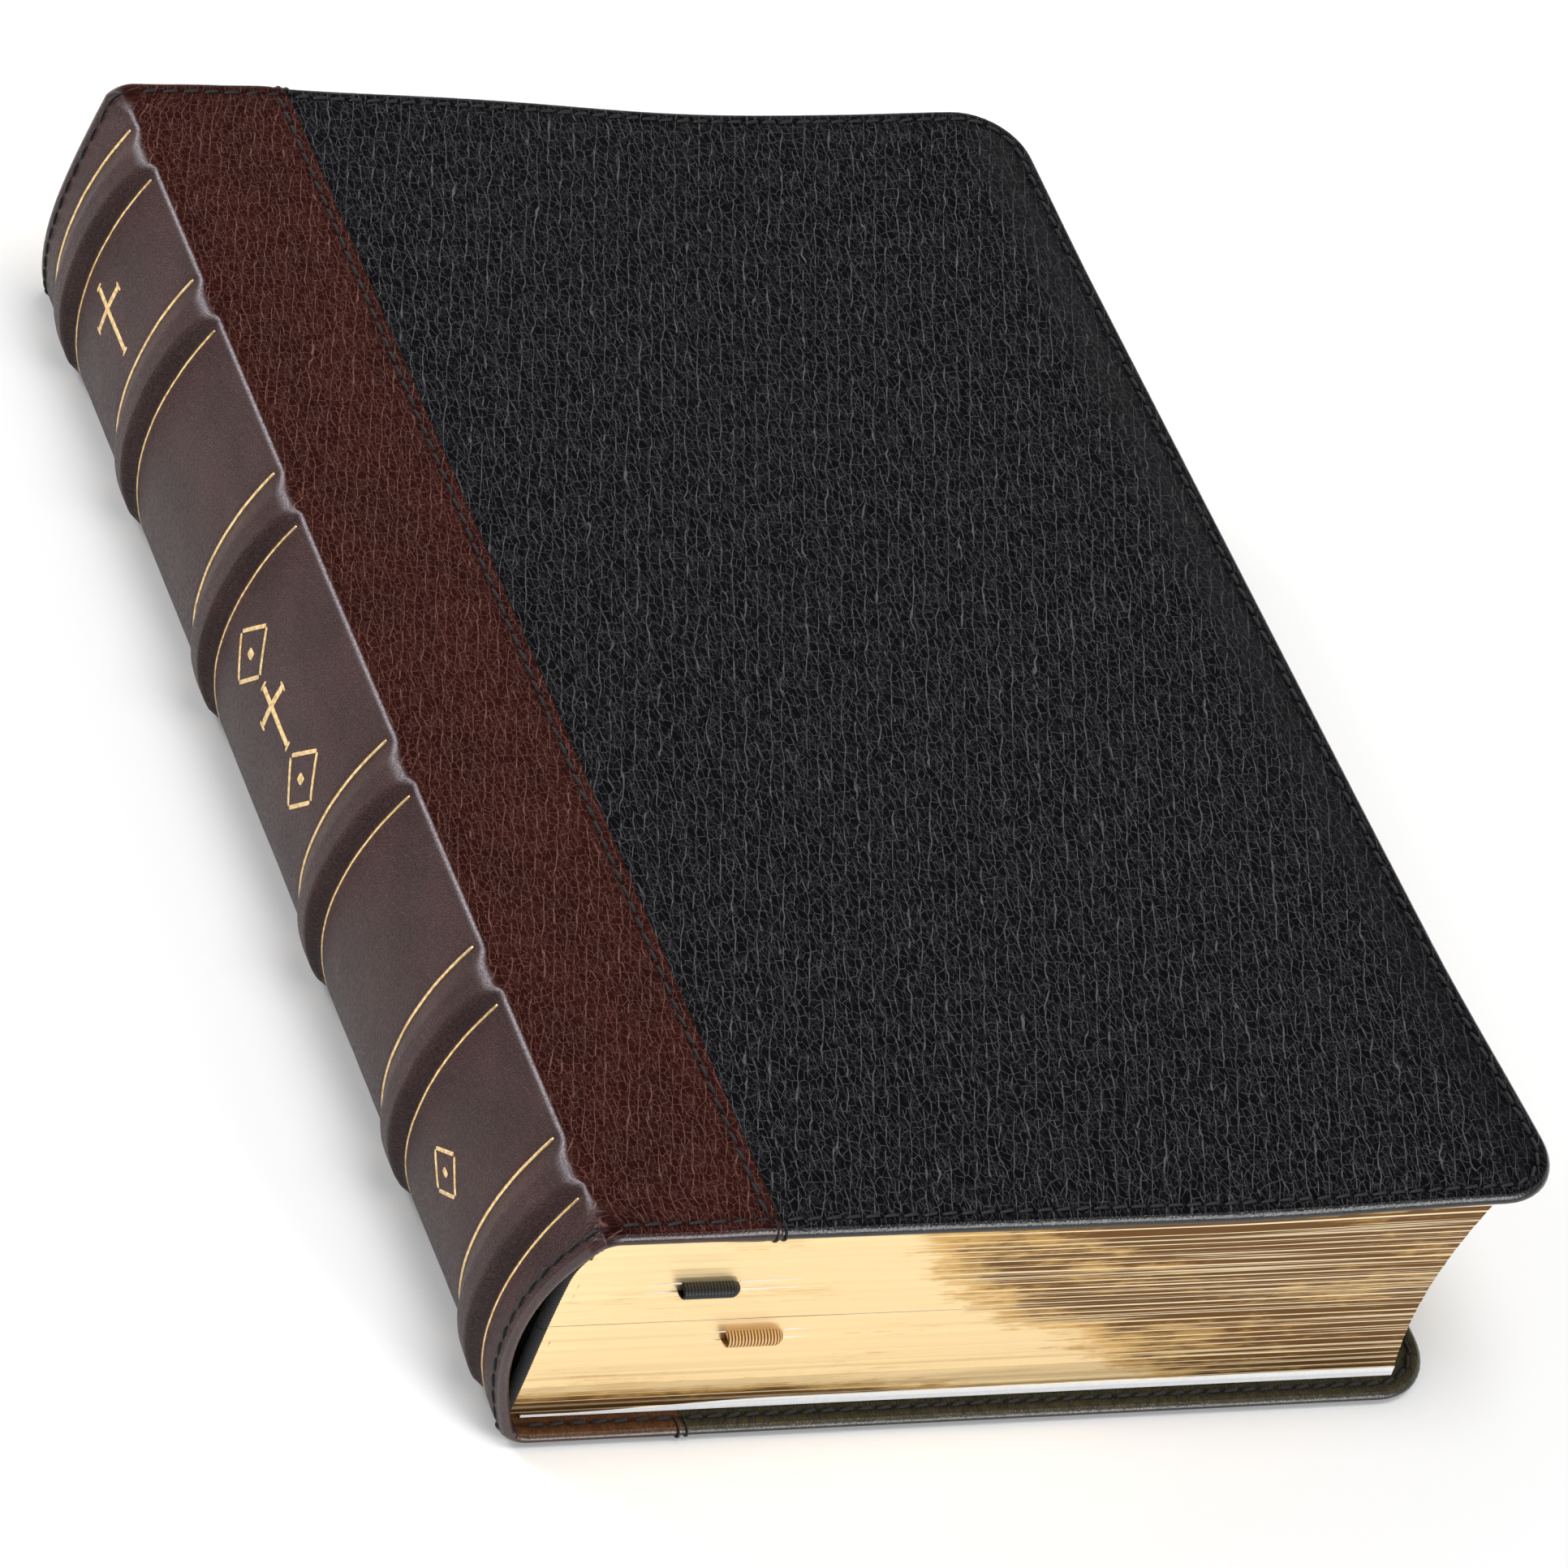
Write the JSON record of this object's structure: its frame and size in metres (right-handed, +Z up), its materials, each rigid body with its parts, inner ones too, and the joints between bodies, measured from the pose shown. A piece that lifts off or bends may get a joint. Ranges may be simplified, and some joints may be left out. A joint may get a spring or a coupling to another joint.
{
  "type": "bible",
  "caption": "Thick leather-bound bible with raised spine bands, gilt page edges and ribbon markers; opens flat at its middle.",
  "frame": {"origin": "under the middle of the closed book's box, on the surface that its back cover lies on", "axes": "+Y from the tail edge to the head edge, +X from the spine to the fore-edge, +Z up through the closed book to its front cover"},
  "size_m": [0.178, 0.25, 0.0475],
  "materials": {
    "black_leather": "pebbled, satin",
    "burgundy_leather": "fine creased, satin",
    "spine_leather": "smooth, soft gloss",
    "board": "matte",
    "pastedown": "matte, black",
    "endpaper": "matte",
    "gilt_leaves": "gilt edges, cream faces",
    "thread": "waxed thread",
    "gilt_foil": "hot-stamped foil",
    "gold_ribbon": "satin",
    "black_ribbon": "satin",
    "lining_cloth": "open weave",
    "headband": "sewn bead",
    "spine_card": "matte"
  },
  "bodies": {
    "rear_half": {"back_leather": "black_leather", "back_strip": "burgundy_leather", "back_board": "board", "back_pastedown": "pastedown", "back_stitching": "thread", "rear_endpapers": "endpaper", "section_01": "gilt_leaves", "section_02": "gilt_leaves", "section_03": "gilt_leaves", "section_04": "gilt_leaves", "section_05": "gilt_leaves", "section_06": "gilt_leaves", "gold_ribbon_run": "gold_ribbon", "spine_lining": "lining_cloth", "head_headband": "headband", "tail_headband": "headband"},
    "front_leaves": {"front_endpapers": "endpaper", "section_07": "gilt_leaves", "section_08": "gilt_leaves", "section_09": "gilt_leaves", "section_10": "gilt_leaves", "section_11": "gilt_leaves", "section_12": "gilt_leaves", "black_ribbon_run": "black_ribbon"},
    "spine": {"spine_leather": "spine_leather", "spine_stitching": "thread", "spine_inlay": "spine_card", "raised_band_1": "spine_card", "raised_band_2": "spine_card", "raised_band_3": "spine_card", "raised_band_4": "spine_card", "raised_band_5": "spine_card", "raised_band_6": "spine_card", "gilt_rules": "gilt_foil", "gilt_ornaments": "gilt_foil"},
    "front_cover": {"front_leather": "black_leather", "front_strip": "burgundy_leather", "front_board": "board", "front_pastedown": "pastedown", "front_stitching": "thread"},
    "gold_ribbon": {"gold_ribbon_tail": "gold_ribbon"},
    "black_ribbon": {"black_ribbon_tail": "black_ribbon"}
  },
  "joints": [
    {"name": "text_open", "type": "hinge", "parent": "rear_half", "child": "front_leaves", "pos_m": [-0.07855, 0, 0.02375], "axis": [0, -1, 0], "range_deg": [0, 180], "deforming": ["spine_lining", "head_headband", "tail_headband"]},
    {"name": "spine_turn", "type": "hinge", "parent": "rear_half", "child": "spine", "pos_m": [-0.07975, 0, 0.00135], "axis": [0, -1, 0], "range_deg": [0, 90]},
    {"name": "front_cover_turn", "type": "hinge", "parent": "spine", "child": "front_cover", "pos_m": [-0.07975, 0, 0.04615], "axis": [0, -1, 0], "range_deg": [0, 90]},
    {"name": "gold_ribbon_slide", "type": "slide", "parent": "rear_half", "child": "gold_ribbon", "axis": [0, -1, 0], "range_m": [0, 0.025]},
    {"name": "black_ribbon_slide", "type": "slide", "parent": "front_leaves", "child": "black_ribbon", "axis": [0, -1, 0], "range_m": [0, 0.025]}
  ],
  "couplings": [
    {"joint": "spine_turn", "follows": "text_open", "ratio": 0.5},
    {"joint": "front_cover_turn", "follows": "text_open", "ratio": 0.5}
  ]
}
